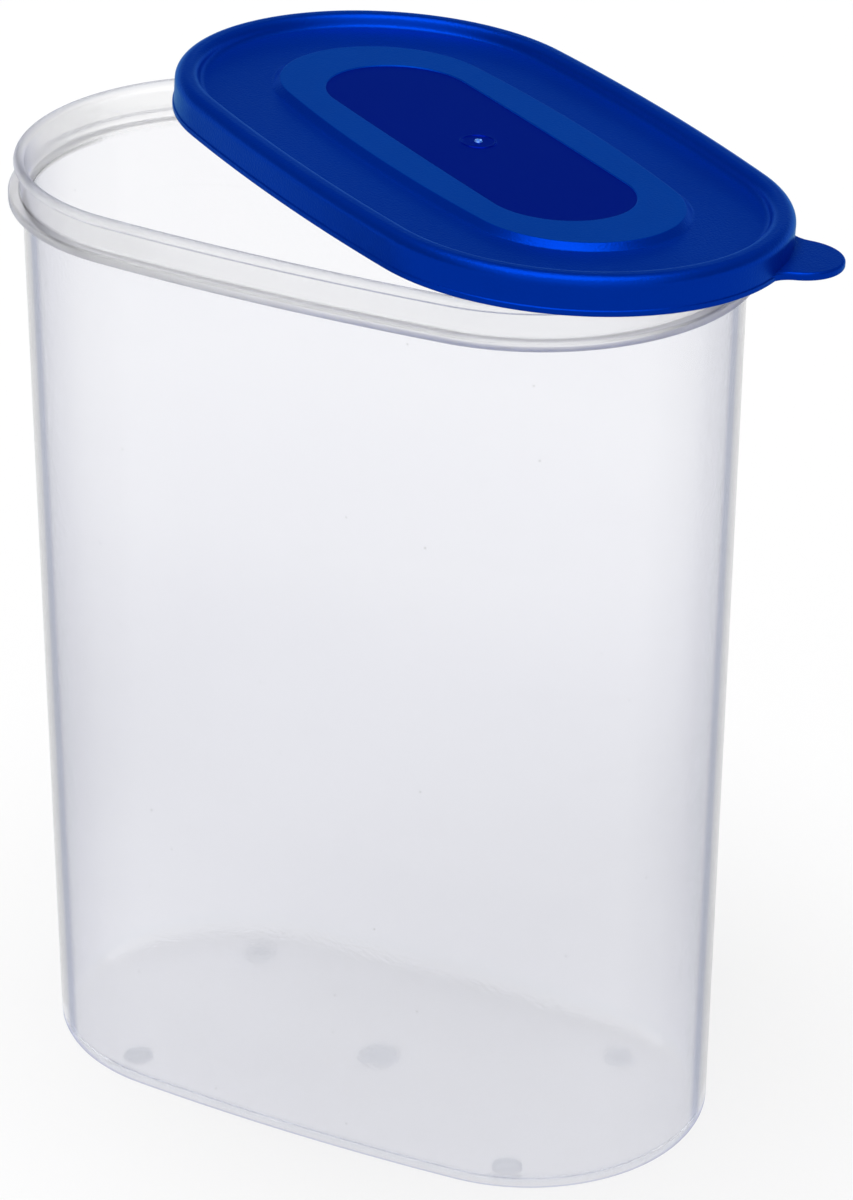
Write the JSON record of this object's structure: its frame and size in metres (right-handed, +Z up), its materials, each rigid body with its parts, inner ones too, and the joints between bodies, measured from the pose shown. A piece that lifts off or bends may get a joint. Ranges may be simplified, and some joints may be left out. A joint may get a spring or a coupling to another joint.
{
  "type": "oval food keeper with lid",
  "caption": "Deep oval keeper for dry food: a frosted drafted tub with a beaded, flanged neck, and a press-on lid with a corner pull tab, lying turned across the mouth.",
  "frame": {"origin": "centre of the tub's base pads, on the surface that it stands on", "axes": "+Z up out of the mouth, X along the tub's length, -Y towards the viewer's side, where the near long wall is"},
  "size_m": [0.2309, 0.168, 0.2788],
  "materials": {
    "frosted_plastic": "translucent frosted polypropylene, smooth outside",
    "blue_plastic": "opaque blue polyethylene, fine matt texture with a smoother centre oval"
  },
  "bodies": {
    "tub": {"tub": "frosted_plastic"},
    "lid": {"lid": "blue_plastic"}
  },
  "joints": [
    {"name": "lid_lift", "type": "slide", "parent": "tub", "child": "lid", "axis": [0, 0, 1], "range_m": [0, 0.12]}
  ]
}
